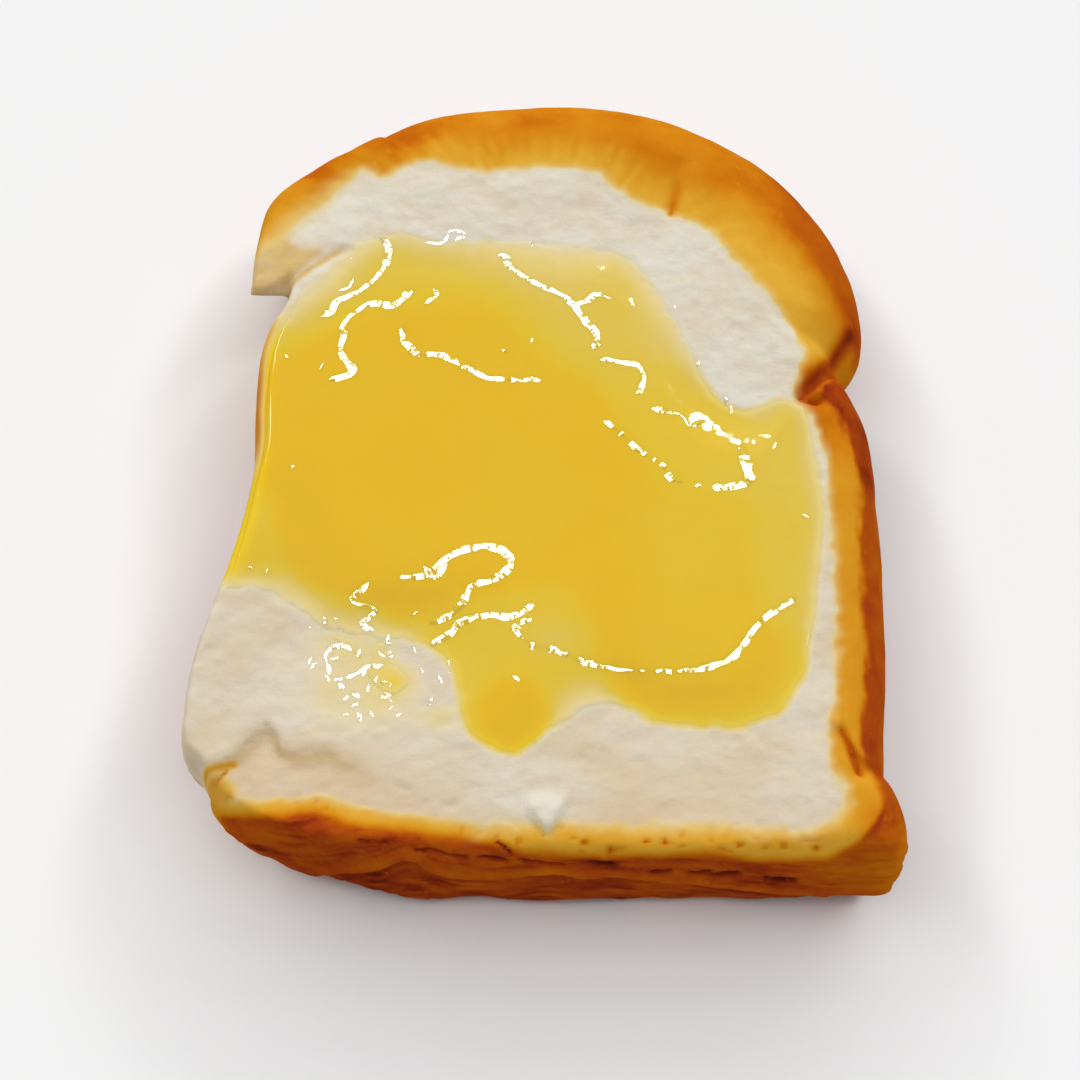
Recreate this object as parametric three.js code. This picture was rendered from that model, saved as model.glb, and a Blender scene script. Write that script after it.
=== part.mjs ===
// A thick mountain-top slice of soft milk bread, lying flat with its torn crumb face up,
// under a poured layer of glossy yellow custard that reaches the slice's left edge.
// Millimetres, +Z up, +Y towards the domed end of the slice, origin under the slice's middle.

import * as THREE from "three";
import { mergeVertices } from "three/addons/utils/BufferGeometryUtils.js";

// Driving dimensions
const SLICE_THICKNESS = 28;
const MID_HEIGHT = SLICE_THICKNESS / 2;
const DOME_ROLL = 15.5; // how far in from the dome's edge its crust curves over, seen from above
const LEFT_LOBE_ROLL = 7;
const LEFT_EDGE_ROLL = 2; // the torn left side is nearly square
const RIGHT_EDGE_ROLL = 7.5;
const HEEL_ROLL = 4.2;
const HEEL_CORNER_ROLL = 6.5;
const UNDERCUT_ROLL = 12; // the near left corner is rounded underneath
const UNDERCUT_LEAST = 4;

const FACE_SAG = 1.5; // the middle of the crumb face dips this much under the custard
const SAG_AREA = { x: 2, y: -8, across: 36, along: 34 };
const CRUMB_WAVE = 0.3; // gentle swells of the torn crumb
const TEAR_DROP = 4.6; // the strip beside the heel lies this much below the torn upper crumb
const SEAM_DEPTH = 3; // creases where the dome and the body of the loaf grew together
const SEAM_HALF_WIDTH = 2.8;
const LIP_Y = -52; // where the torn lip is
const LIP_HALF_WIDTH = 3.2; // the torn lip falls over twice this width
const DENT_DEPTH = 0.9; // short dent in the dome's crust
const DENT_HALF_WIDTH = 1.6;

const CUSTARD_GAP = 0.35; // clearance between the crumb and the custard
const CUSTARD_RIM = 0.25; // thickness at the very edge
const CUSTARD_THIN = 0.6; // what the thin layer adds inside the edge
const CUSTARD_EDGE_ROLL = 3;
// Where the layer is thicker: its middle, the left drip and the right drip
const CUSTARD_SWELLS = [
  { x: -4, y: -6, across: 30, along: 24, height: 0.6 },
  { x: -5, y: -46, across: 7, along: 6, height: 0.5 },
  { x: 23, y: -42, across: 13, along: 7, height: 0.5 },
];

const BREAD_SEGMENTS = 168;
const BREAD_TOP_RINGS = 16;
const BREAD_BASE_RINGS = 8;
const CUSTARD_SEGMENTS = 108;
const CUSTARD_TOP_RINGS = 9;
const CUSTARD_BASE_RINGS = 6;
const STEPS_PER_POINT = 8;

// Outlines, seen from above and at their widest

function closedCurve(points) {
  const corners = points.map(([x, y]) => new THREE.Vector3(x, y, 0));
  const curve = new THREE.CatmullRomCurve3(corners, true, "centripetal");
  return curve.getPoints(points.length * STEPS_PER_POINT).slice(0, -1);
}

// An egg of four quarter superellipses round one centre.
function egg({ x, y, left, right, far, near, power, steps = 72 }) {
  const outline = [];
  for (let i = 0; i < steps; i++) {
    const angle = (i / steps) * 2 * Math.PI;
    const c = Math.cos(angle);
    const s = Math.sin(angle);
    const across = (c < 0 ? left : right) * Math.sign(c) * Math.abs(c) ** (2 / power);
    const along = (s < 0 ? near : far) * Math.sign(s) * Math.abs(s) ** (2 / power);
    outline.push(new THREE.Vector3(x + across, y + along, 0));
  }
  return outline;
}

const BODY_OUTLINE = closedCurve([
  [-41.4, 34], [-41.9, 24], [-44.2, 19.5], [-45.7, 14], [-46, 5], [-45.8, -6], [-47.7, -18],
  [-50, -27], [-52.8, -37], [-53.7, -46], [-53.2, -51], [-50.6, -53.8], [-48.6, -57], [-40, -63],
  [-30, -66], [-10, -66.8], [40, -66.5], [48, -62], [51.2, -45], [52.4, -28], [52.6, -12],
  [51.9, 3], [49.6, 9.6], [45, 19], [30, 34], [0, 42], [-30, 41],
]);
const DOME_OUTLINE = egg({ x: 0.5, y: 23, left: 42.6, right: 51.7, far: 44.4, near: 19, power: 2.08 });
const LEFT_LOBE_OUTLINE = closedCurve([
  [-48.4, 30], [-48, 38], [-47.2, 44.6], [-44.8, 49], [-40.4, 53], [-34.6, 56.2], [-28, 57.6],
  [-20, 54], [-20, 40], [-28, 33], [-36, 30], [-42, 26.4], [-48.2, 25.4],
]);
const HEEL_OUTLINE = closedCurve([
  [-49.2, -56.4], [-47.8, -59], [-43.6, -62.4], [-38, -64.8], [-30, -66.9], [-20, -68.1], [0, -68.5],
  [25, -68.8], [44, -68.9], [50.8, -67.8], [53, -63.4], [52.4, -57], [50.2, -53.4], [40, -50],
  [0, -50], [-40, -53],
]);
const CUSTARD_OUTLINE = closedCurve([
  [41.6, -3], [41, -18], [39.2, -30], [36, -42], [30, -47], [20, -48], [11, -44.6], [4, -43],
  [1, -48.4], [-4.6, -52.6], [-10.6, -49.4], [-12.2, -40.5], [-18, -33.8], [-30, -32.6], [-41, -26.4],
  [-42.6, -18], [-41.6, -2], [-42.2, 14], [-40.6, 22.6], [-31.6, 31.6], [-22, 35], [0, 34.6],
  [13, 30.4], [21, 19.6], [27, 8.6], [36, 5.4],
]);
const CUSTARD_CENTRE = { x: 4, y: -14 };

// Creases and dents, as the lines they follow

const LEFT_SEAM = [[-50, 27.5], [-43, 25.6], [-37.5, 29.6], [-32, 33.4]];
const RIGHT_SEAM = [[54, 14.5], [45, 11.2], [41.4, 7.4], [37.6, 6.8]];
const HEEL_SEAM = [[53, -54], [48.4, -52.4], [45, -49]];
const DOME_DENT = [[21.8, 54], [20.6, 42]];

// Plain helpers

function smoothStep(from, to, value) {
  const t = Math.min(Math.max((value - from) / (to - from), 0), 1);
  return t * t * (3 - 2 * t);
}

// A round hump of height 1 over its middle, with its own width along x and along y.
function hump(x, y, { x: middleX, y: middleY, across, along }) {
  return Math.exp(-(((x - middleX) / across) ** 2) - ((y - middleY) / along) ** 2);
}

function distanceToStretch(x, y, ax, ay, bx, by) {
  const lengthSquared = (bx - ax) ** 2 + (by - ay) ** 2;
  const along = ((x - ax) * (bx - ax) + (y - ay) * (by - ay)) / lengthSquared;
  const t = Math.min(Math.max(along, 0), 1);
  return Math.hypot(x - ax - t * (bx - ax), y - ay - t * (by - ay));
}

function distanceToLine(x, y, line) {
  let nearest = Infinity;
  for (let i = 1; i < line.length; i++) {
    nearest = Math.min(nearest, distanceToStretch(x, y, ...line[i - 1], ...line[i]));
  }
  return nearest;
}

// How far a place lies inside an outline, and less than zero outside it.
function depthInside(x, y, outline) {
  let nearest = Infinity;
  let inside = false;
  for (let i = 0; i < outline.length; i++) {
    const a = outline[i];
    const b = outline[(i + 1) % outline.length];
    nearest = Math.min(nearest, distanceToStretch(x, y, a.x, a.y, b.x, b.y));
    const crosses = a.y > y !== b.y > y;
    if (crosses && x < a.x + ((y - a.y) * (b.x - a.x)) / (b.y - a.y)) {
      inside = !inside;
    }
  }
  return inside ? nearest : -nearest;
}

// How far an outline reaches from a centre in the direction of an angle.
function reach(centre, angle, outline) {
  const c = Math.cos(angle);
  const s = Math.sin(angle);
  let farthest = 0;
  for (let i = 0; i < outline.length; i++) {
    const a = outline[i];
    const b = outline[(i + 1) % outline.length];
    const sideA = c * (a.y - centre.y) - s * (a.x - centre.x);
    const sideB = c * (b.y - centre.y) - s * (b.x - centre.x);
    if (sideA > 0 === sideB > 0) {
      continue;
    }
    const t = sideA / (sideA - sideB);
    const x = a.x + t * (b.x - a.x) - centre.x;
    const y = a.y + t * (b.y - a.y) - centre.y;
    farthest = Math.max(farthest, c * x + s * y);
  }
  return farthest;
}

// Share of the full height that a rounded edge has reached at a depth inside it.
function rollShare(depth, roll) {
  if (depth <= 0) {
    return 0;
  }
  const left = Math.max(1 - depth / roll, 0);
  return Math.sqrt(1 - left * left);
}

// Lobes of dough, each with its outline and the width over which its edge curves

const LOBES = [
  {
    outline: BODY_OUTLINE,
    roll: (x) => LEFT_EDGE_ROLL + (RIGHT_EDGE_ROLL - LEFT_EDGE_ROLL) * smoothStep(-20, 30, x),
  },
  { outline: DOME_OUTLINE, roll: () => DOME_ROLL },
  { outline: LEFT_LOBE_OUTLINE, roll: () => LEFT_LOBE_ROLL },
  {
    outline: HEEL_OUTLINE,
    roll: (x) => HEEL_ROLL + (HEEL_CORNER_ROLL - HEEL_ROLL) * smoothStep(25, 48, x),
  },
];

function breadReach(angle) {
  return Math.max(...LOBES.map(({ outline }) => reach({ x: 0, y: 0 }, angle, outline)));
}

function crease(x, y, line, depth, halfWidth) {
  return depth * Math.exp(-((distanceToLine(x, y, line) / halfWidth) ** 2));
}

// Torn strip beside the heel: it drops below the upper crumb, most at the left.
function tearDrop(x, y) {
  const belowLip = smoothStep(LIP_Y + LIP_HALF_WIDTH, LIP_Y - LIP_HALF_WIDTH, y);
  const besideHeel = smoothStep(-66, -57, y);
  return TEAR_DROP * smoothStep(-14, -42, x) * belowLip * (0.45 + 0.55 * besideHeel);
}

// Height of the upper surface over the slice's thickness where no edge has begun to curve.
function faceRelief(x, y) {
  const sag = FACE_SAG * hump(x, y, SAG_AREA);
  const wave = CRUMB_WAVE * (Math.sin(x / 6.5 + y / 11) + Math.sin(y / 7.5 - x / 13 + 1));
  const seams =
    crease(x, y, LEFT_SEAM, SEAM_DEPTH, SEAM_HALF_WIDTH) +
    crease(x, y, RIGHT_SEAM, SEAM_DEPTH, SEAM_HALF_WIDTH) +
    crease(x, y, HEEL_SEAM, SEAM_DEPTH, SEAM_HALF_WIDTH);
  const dent = crease(x, y, DOME_DENT, DENT_DEPTH, DENT_HALF_WIDTH);
  return wave - sag - seams - dent - tearDrop(x, y);
}

function topHeight(x, y) {
  let share = 0;
  for (const { outline, roll } of LOBES) {
    share = Math.max(share, rollShare(depthInside(x, y, outline), roll(x, y)));
  }
  return MID_HEIGHT + share * (SLICE_THICKNESS - MID_HEIGHT + faceRelief(x, y));
}

function baseHeight(x, y) {
  const undercut = UNDERCUT_ROLL * smoothStep(-15, -45, x) * smoothStep(-40, -60, y);
  let share = 0;
  for (const { outline, roll } of LOBES) {
    const baseRoll = Math.max(roll(x, y), UNDERCUT_LEAST + undercut);
    share = Math.max(share, rollShare(depthInside(x, y, outline), baseRoll));
  }
  return MID_HEIGHT * (1 - share);
}

function custardThickness(x, y) {
  let thickness = CUSTARD_THIN;
  for (const swell of CUSTARD_SWELLS) {
    thickness += swell.height * hump(x, y, swell);
  }
  return thickness;
}

// A turned disc of rings, stretched out to an outline and given a height above and below.
function stretchedDisc({ segments, topRings, baseRings, centre, radius, top, base, rim }) {
  const profile = [];
  for (let i = 0; i <= baseRings; i++) {
    profile.push(new THREE.Vector2(Math.sin((i / baseRings) * (Math.PI / 2)), i < baseRings ? -1 : 0));
  }
  for (let i = topRings - 1; i >= 0; i--) {
    profile.push(new THREE.Vector2(Math.sin((i / topRings) * (Math.PI / 2)), 1));
  }
  const disc = new THREE.LatheGeometry(profile, segments);
  disc.rotateX(Math.PI / 2);
  const position = disc.attributes.position;
  const radii = new Map();
  for (let i = 0; i < position.count; i++) {
    const share = Math.hypot(position.getX(i), position.getY(i));
    const side = Math.round(position.getZ(i));
    const segment = Math.floor(i / profile.length) % segments;
    const angle = (segment / segments) * 2 * Math.PI;
    if (!radii.has(segment)) {
      radii.set(segment, radius(angle));
    }
    const x = centre.x + share * radii.get(segment) * Math.cos(angle);
    const y = centre.y + share * radii.get(segment) * Math.sin(angle);
    const heights = { "-1": base, 0: rim, 1: top };
    position.setXYZ(i, x, y, heights[side](x, y));
  }
  return closedSurface(disc);
}

// One shared vertex at each place, and no triangle without area.
function closedSurface(geometry) {
  geometry.deleteAttribute("uv");
  geometry.deleteAttribute("normal");
  const merged = mergeVertices(geometry, 1e-4);
  const corners = merged.index.array;
  const kept = [];
  for (let i = 0; i < corners.length; i += 3) {
    const [a, b, c] = corners.slice(i, i + 3);
    if (a !== b && b !== c && c !== a) {
      kept.push(a, b, c);
    }
  }
  merged.setIndex(kept);
  merged.computeVertexNormals();
  return merged;
}

function makeBread() {
  const geometry = stretchedDisc({
    segments: BREAD_SEGMENTS,
    topRings: BREAD_TOP_RINGS,
    baseRings: BREAD_BASE_RINGS,
    centre: { x: 0, y: 0 },
    radius: breadReach,
    top: topHeight,
    base: baseHeight,
    rim: () => MID_HEIGHT,
  });
  const crust = new THREE.MeshStandardMaterial({ color: 0xd9891f, roughness: 0.62, metalness: 0 });
  const bread = new THREE.Mesh(geometry, crust);
  bread.name = "milk_bread";
  return bread;
}

function makeCustard() {
  const under = (x, y) => topHeight(x, y) + CUSTARD_GAP;
  const edge = (x, y) => rollShare(depthInside(x, y, CUSTARD_OUTLINE), CUSTARD_EDGE_ROLL);
  const geometry = stretchedDisc({
    segments: CUSTARD_SEGMENTS,
    topRings: CUSTARD_TOP_RINGS,
    baseRings: CUSTARD_BASE_RINGS,
    centre: CUSTARD_CENTRE,
    radius: (angle) => reach(CUSTARD_CENTRE, angle, CUSTARD_OUTLINE),
    top: (x, y) => under(x, y) + CUSTARD_RIM + custardThickness(x, y) * edge(x, y),
    base: under,
    rim: (x, y) => under(x, y) + CUSTARD_RIM / 2,
  });
  const yellow = new THREE.MeshStandardMaterial({ color: 0xe1b82d, roughness: 0.12, metalness: 0 });
  const custard = new THREE.Mesh(geometry, yellow);
  custard.name = "custard_spread";
  return custard;
}

const slice = new THREE.Group();
slice.add(makeBread(), makeCustard());

// The slice's middle goes over the origin, and its base on the ground plane.
const box = new THREE.Box3().setFromObject(slice);
const middle = box.getCenter(new THREE.Vector3());
slice.position.set(-middle.x, -middle.y, -box.min.z);

export default slice;
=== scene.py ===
"""A thick slice of milk bread, torn crumb face up, under a glossy yellow custard spread.

Shapes are worked out in millimetres, seen from above with +Y towards the domed end, and moved on to
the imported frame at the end. A place's slant is how far up it lies on the heel's slope: it grows up
the heel's side and on across the upper face.
"""

import math

import bmesh
import bpy
import numpy as np
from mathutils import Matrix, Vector


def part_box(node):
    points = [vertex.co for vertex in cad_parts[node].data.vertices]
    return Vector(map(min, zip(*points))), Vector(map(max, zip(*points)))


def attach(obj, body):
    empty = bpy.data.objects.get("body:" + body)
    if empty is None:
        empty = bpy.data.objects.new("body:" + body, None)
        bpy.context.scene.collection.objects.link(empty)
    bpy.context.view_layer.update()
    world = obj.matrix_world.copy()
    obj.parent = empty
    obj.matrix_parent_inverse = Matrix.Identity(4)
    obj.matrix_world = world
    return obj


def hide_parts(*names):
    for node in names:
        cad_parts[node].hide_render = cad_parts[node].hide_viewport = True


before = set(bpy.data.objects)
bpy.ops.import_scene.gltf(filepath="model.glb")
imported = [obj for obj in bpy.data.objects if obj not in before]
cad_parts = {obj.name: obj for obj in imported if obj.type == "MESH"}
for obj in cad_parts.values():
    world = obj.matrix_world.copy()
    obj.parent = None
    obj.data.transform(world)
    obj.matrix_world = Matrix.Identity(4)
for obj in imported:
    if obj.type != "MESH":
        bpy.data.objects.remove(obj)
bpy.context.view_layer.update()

MM = 0.001

# ---- the slice's driving dimensions, mm
THICKNESS = 28.0
MID = THICKNESS / 2
DOME_ROLL = 15.5
LEFT_LOBE_ROLL = 7.0
LEFT_LOBE_EDGE = 2.5
LEFT_EDGE_ROLL = 2.0
RIGHT_EDGE_ROLL = 7.5
HEEL_ROLL = 4.2
HEEL_CORNER_ROLL = 6.5
UNDERCUT_ROLL = 12.0
UNDERCUT_LEAST = 3.0
FACE_SAG = 1.5
CRUMB_WAVE = 0.3
TEAR_DROP = 1.7
SEAM_DEPTH = 3.0
LEFT_SEAM_DEPTH = 1.0
DENT_DEPTH = 0.7
SLANT = (0.9135, 0.4067)
# The left lobe hangs over: where its torn edge starts on the upper face, and how far it leans per mm.
LOBE_FLOOR = 23.8
LOBE_FLOOR_LEAN = 0.62
LOBE_FLOOR_ROLL = 3.0

SPREAD_LEVEL = THICKNESS + 0.55
SPREAD_FILM = 0.06
SPREAD_DIP = 0.35
SHEET_DEPTH = 1.4
SHEET_MARGIN = 1.4
RIM_DROP = 1.5
RIDGE_SINK = 0.03
RIDGE_WIDEN = 1.25
RIDGE_ROOT = 0.35
RIDGE_STEP = 0.35
RIDGE_TILTS = np.radians(np.linspace(4, 32, 57))

# How high or deep the small relief is.
CRUMB_LUMPS, CRUMB_FLUFF, CRUMB_PITS = 0.36, 0.16, 0.28
HEEL_STREAKS, HEEL_LUMPS, FOLD_RISE, FOLD_DROP, CRACK_DEPTH = 0.26, 0.18, 0.5, 0.4, 0.5
SKIN_WAVES, SKIN_GRAIN, FRILL, TUFT_RISE, PIT_DEPTH, FLECK_DEPTH = 0.2, 0.05, 0.1, 0.9, 0.4, 0.2
# How brown the crust is, from 0, pale gold, to 1, dark brown. The darker values on the sides, in creases
# and in cracks are partly painted shade.
GOLD_TONE, BROWN_LEFT_TONE, BROWN_TONE, PIT_TONE, CRACK_TONE = 0.08, 0.83, 0.8, 0.78, 0.96
LEFT_TONE, LEFT_CORNER_TONE, SIDE_TONE, SIDE_TONE_MOST = 0.4, 0.12, 0.27, 0.87
# How deep the spread's colour is, from 0 on bare crumb to 1 in the pools.
THIN_DEPTH, CORE_DEPTH, DRIP_DEPTH, SMEAR_DEPTH = 0.72, 0.87, 0.92, 0.24

# ---- camera and lamps, mm and radians
CAMERA_PITCH = math.radians(66)
CAMERA_DISTANCE = 295.0
CAMERA_AIM = np.array([-0.65, -18.75, THICKNESS])
TO_CAMERA = np.array([0, -math.cos(CAMERA_PITCH), math.sin(CAMERA_PITCH)])
CAMERA_SPOT = CAMERA_AIM + CAMERA_DISTANCE * TO_CAMERA
FOCAL_PIXELS = 1960.0
PICTURE_PIXELS = 1080
SENSOR_MM = 36.0
# What level spread in the middle of the picture mirrors: the lamps stand in a ring round it.
MIRRORED = np.array([0, math.cos(CAMERA_PITCH), math.sin(CAMERA_PITCH)])
LAMPS = 18
LAMP_OFF_MIRROR = math.radians(36)
LAMP_STRENGTH = 0.202
LAMP_SPREAD = math.radians(10)
SKY_STRENGTH = 0.16
FLOOR_HALF = 3.0
FLOOR_GREY = 0.885

BREAD_CELL = 0.55
BREAD_LOW, BREAD_HIGH = np.array([-57.0, -71.0, -1.5]), np.array([56.0, 71.0, 30.5])
FLAT_MARGIN = 9
SPREAD_CELL = 0.4
SPREAD_LOW, SPREAD_HIGH = np.array([-50.0, -58.0]), np.array([45.0, 42.0])


# ---- plain helpers
def smooth(a, b, x):
    t = np.clip((x - a) / (b - a), 0, 1)
    return t * t * (3 - 2 * t)


def mix(a, b, t):
    return a + (b - a) * t


def bell(v, middle, width):
    return np.exp(-(((v - middle) / width) ** 2))


def spot(x, y, place):
    """One at a place, given as x, y and two radii, and fading out round it."""
    px, py, across, along = place
    return np.exp(-(((x - px) / across) ** 2) - ((y - py) / along) ** 2)


def grid(low, high, cell):
    """A grid's axes, and its x and y as 2-D arrays."""
    axes = [np.arange(a, b, cell) for a, b in zip(low, high)]
    return axes, *np.meshgrid(axes[0], axes[1], indexing="ij")


def closed_curve(points, steps=8):
    """A smooth closed curve through the points: centripetal Catmull-Rom."""
    p = np.array(points, float)
    out = []
    for i in range(len(p)):
        p0, p1, p2, p3 = p[i - 1], p[i], p[(i + 1) % len(p)], p[(i + 2) % len(p)]
        t1 = np.linalg.norm(p1 - p0) ** 0.5
        t2 = t1 + np.linalg.norm(p2 - p1) ** 0.5
        t3 = t2 + np.linalg.norm(p3 - p2) ** 0.5
        for k in range(steps):
            t = t1 + (t2 - t1) * k / steps
            a1 = (t1 - t) / t1 * p0 + t / t1 * p1
            a2 = (t2 - t) / (t2 - t1) * p1 + (t - t1) / (t2 - t1) * p2
            a3 = (t3 - t) / (t3 - t2) * p2 + (t - t2) / (t3 - t2) * p3
            b1 = (t2 - t) / t2 * a1 + t / t2 * a2
            b2 = (t3 - t) / (t3 - t1) * a2 + (t - t1) / (t3 - t1) * a3
            out.append((t2 - t) / (t2 - t1) * b1 + (t - t1) / (t2 - t1) * b2)
    return np.array(out)


def open_curve(points, step):
    """A smooth open curve through the points, sampled about every step mm."""
    p = np.array(points, float)
    p = np.vstack([2 * p[0] - p[1], p, 2 * p[-1] - p[-2]])
    out = []
    for i in range(1, len(p) - 2):
        n = max(int(np.linalg.norm(p[i + 1] - p[i]) / step), 1)
        t = np.arange(n)[:, None] / n
        out.append(
            0.5 * (2 * p[i] + (p[i + 1] - p[i - 1]) * t
                   + (2 * p[i - 1] - 5 * p[i] + 4 * p[i + 1] - p[i + 2]) * t**2
                   + (3 * p[i] - p[i - 1] - 3 * p[i + 1] + p[i + 2]) * t**3)
        )
    out.append(p[-2][None])
    return np.vstack(out)


def egg(x, y, left, right, far, near, powers, steps=96):
    """Four quarter superellipses round one centre; powers: far left, far right, near right, near left."""
    t = np.arange(steps) / steps * 2 * np.pi
    c, s = np.cos(t), np.sin(t)
    far_left, far_right, near_right, near_left = powers
    power = np.where(s < 0, np.where(c < 0, near_left, near_right), np.where(c < 0, far_left, far_right))
    across = np.where(c < 0, left, right) * np.sign(c) * np.abs(c) ** (2 / power)
    along = np.where(s < 0, near, far) * np.sign(s) * np.abs(s) ** (2 / power)
    return np.stack([x + across, y + along], 1)


def stretch_distance(x, y, a, b):
    e = b - a
    t = np.clip(((x - a[0]) * e[0] + (y - a[1]) * e[1]) / max(e @ e, 1e-9), 0, 1)
    return np.hypot(x - a[0] - t * e[0], y - a[1] - t * e[1])


def line_distance(x, y, line):
    line = np.array(line, float)
    nearest = np.full(np.shape(x), 1e9)
    for a, b in zip(line[:-1], line[1:]):
        nearest = np.minimum(nearest, stretch_distance(x, y, a, b))
    return nearest


def near_line(x, y, line, half_width):
    """One on a line, and fading out beside it."""
    return np.exp(-((line_distance(x, y, line) / half_width) ** 2))


def depth_inside(x, y, outline):
    """How far a place lies inside an outline, and less than zero outside it."""
    nearest = np.full(np.shape(x), 1e9)
    inside = np.zeros(np.shape(x), bool)
    for a, b in zip(outline, np.roll(outline, -1, 0)):
        nearest = np.minimum(nearest, stretch_distance(x, y, a, b))
        if a[1] != b[1]:
            crosses = (a[1] > y) != (b[1] > y)
            inside ^= crosses & (x < a[0] + (y - a[1]) * (b[0] - a[0]) / (b[1] - a[1]))
    return np.where(inside, nearest, -nearest)


def roll_share(depth, roll):
    left = np.clip(1 - depth / roll, 0, 1)
    return np.sqrt(1 - left * left)


def hashed(ix, iy, iz, seed):
    n = (ix * 374761393 + iy * 668265263 + iz * 1440662683 + seed * 974634777).astype(np.uint64)
    n = n & np.uint64(0xFFFFFFFF)
    n = ((n ^ (n >> np.uint64(13))) * np.uint64(1274126177)) & np.uint64(0xFFFFFFFF)
    n = (n ^ (n >> np.uint64(16))) & np.uint64(0xFFFFFF)
    return n.astype(np.float64) / 0x7FFFFF - 1


def noise(x, y, z, seed=0):
    """Smooth value noise from -1 to 1, one cell to the unit."""
    x, y, z = np.broadcast_arrays(x, y, z)
    fx, fy, fz = np.floor(x), np.floor(y), np.floor(z)
    ix, iy, iz = fx.astype(np.int64), fy.astype(np.int64), fz.astype(np.int64)
    tx, ty, tz = x - fx, y - fy, z - fz
    tx, ty, tz = (t * t * t * (t * (t * 6 - 15) + 10) for t in (tx, ty, tz))
    total = 0
    for dz in (0, 1):
        for dy in (0, 1):
            for dx in (0, 1):
                w = (tx if dx else 1 - tx) * (ty if dy else 1 - ty) * (tz if dz else 1 - tz)
                total = total + w * hashed(ix + dx, iy + dy, iz + dz, seed)
    return total


def layered(x, y, z, seed=0, octaves=3, gain=0.5):
    total, weight, size = 0, 0, 1.0
    for k in range(octaves):
        total = total + gain**k * noise(x * size, y * size, z * size, seed + 17 * k)
        weight += gain**k
        size *= 2.03
    return total / weight


# ---- outlines, seen from above, mm
BODY = closed_curve([
    (-41.4, 34), (-41.9, 24), (-44.2, 19.5), (-45.7, 14), (-46, 5), (-45.8, -6), (-47.7, -18),
    (-50, -27), (-52.8, -37), (-53.7, -46), (-53.2, -51), (-50.6, -53.8), (-48.6, -57), (-40, -63),
    (-30, -66), (-10, -66.8), (40, -66.5), (48, -62), (51.2, -45), (52.4, -28), (52.6, -12),
    (51.9, 3), (49.6, 9.6), (45, 19), (30, 34), (0, 42), (-30, 41),
])
DOME_MIDDLE = 23
DOME_REACH = 45
DOME = egg(0.5, DOME_MIDDLE, 42.6, 51.9, 44.4, 19, (2.7, 2.07, 2.4, 2.1))
LEFT_LOBE = closed_curve([
    (-48, 29), (-47.7, 37), (-47.2, 44), (-44.6, 48.2), (-39.8, 52.2), (-33.6, 56.2), (-27, 59.2),
    (-20, 54), (-20, 40), (-28, 33), (-36, 30), (-42, 24), (-48, 22.6),
])
HEEL = closed_curve([
    (-49.4, -56.4), (-48, -59), (-43.8, -62.4), (-38, -64.8), (-30, -67), (-20, -68.4), (0, -68.8),
    (25, -69), (44, -69.1), (50.8, -68), (53, -63.4), (52.3, -57), (50.2, -53.4), (40, -50),
    (0, -50), (-40, -53),
])
# Where the white crumb gives way to crust on the upper face.
CRUMB = closed_curve([
    (-58, -40), (-58, -66), (-48, -66), (-30, -66), (-15, -64.6), (-6, -62.8), (8.6, -62.8), (30, -63.4),
    (39.4, -63.4), (43, -60.6), (42.6, -57), (40.8, -54), (41.2, -47), (42.8, -37), (43.4, -23),
    (43.4, -11), (42.4, 0), (39.4, 5.4), (39.6, 9), (41, 13.6), (38, 20.4), (34.6, 25.4),
    (30.7, 30.6), (27, 36), (20.5, 39.3), (14.8, 42.2), (11, 45), (8.4, 47.4), (-0.6, 48.4),
    (-10.6, 47.5), (-18.6, 49.2), (-22.6, 48.8), (-26.2, 46.8), (-30, 47.8), (-33.5, 44.6), (-37.5, 40.2),
    (-41, 37.4), (-43.5, 34), (-47, 31), (-58, 27), (-58, 0),
])
# Crumb that is tanned: the left lobe's lower end.
TANNED = closed_curve([
    (-47, 34.4), (-42, 35.4), (-39.4, 32.8), (-35.4, 33), (-38, 29.4), (-41, 26.2), (-48, 23.6),
])
# A tuft of crumb that hangs over the heel's golden band.
TUFT = closed_curve([
    (-3.6, -57.6), (-2.2, -61), (-0.8, -62.9), (0.5, -64), (1.7, -63), (2.6, -61), (3.4, -57.6),
])
SPREAD = closed_curve([
    (40.6, 4), (42.2, -4), (43, -13.4), (41.8, -22.5), (39.7, -35.6), (37.3, -42), (33.8, -46.6),
    (29, -48.4), (22, -48.6), (16, -47.8), (10, -45.2), (5, -46.4), (1, -48.8), (-1, -50.6),
    (-4.4, -52.6), (-8.2, -51.6), (-11, -49.4), (-12.6, -45), (-13.2, -40.6), (-18, -35.4), (-27.5, -34.4),
    (-33, -32.9), (-41, -27.7), (-50, -26), (-53, -10), (-53, 10), (-46, 18.4), (-41.4, 21.8),
    (-37.4, 26.5), (-33.3, 32), (-29, 34.8), (-23.5, 36.2), (-16, 34.8), (-6.9, 35.2), (7.4, 33.8),
    (13.4, 32.2), (18.6, 25.6), (22, 18.6), (24.8, 11), (27.8, 5.6), (31.5, 4), (36.9, 6.2),
])
# The deep yellow middle of the spread, down to its pool.
CORE = closed_curve([
    (-44.4, 12), (-40.1, 13.8), (-35, 16.6), (-29, 20.4), (-23.2, 21), (-16, 23), (-9, 22), (-4, 18.6),
    (0.6, 12.6), (8.4, 6.4), (11.4, 0.4), (15.6, -6.8), (20, -11.8), (30.3, -13.6), (30.2, -22.5),
    (32, -32), (33.6, -38), (31, -43), (24, -45.4), (16, -44.6), (11, -41.4), (8, -33), (5.8, -27.6),
    (0.7, -25.8), (-13.5, -28.2), (-21.6, -30.9), (-27, -28.5), (-33.9, -26), (-38.8, -20.8),
    (-40.7, -13.4), (-43.1, -8.8), (-44.6, 4),
])

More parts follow.
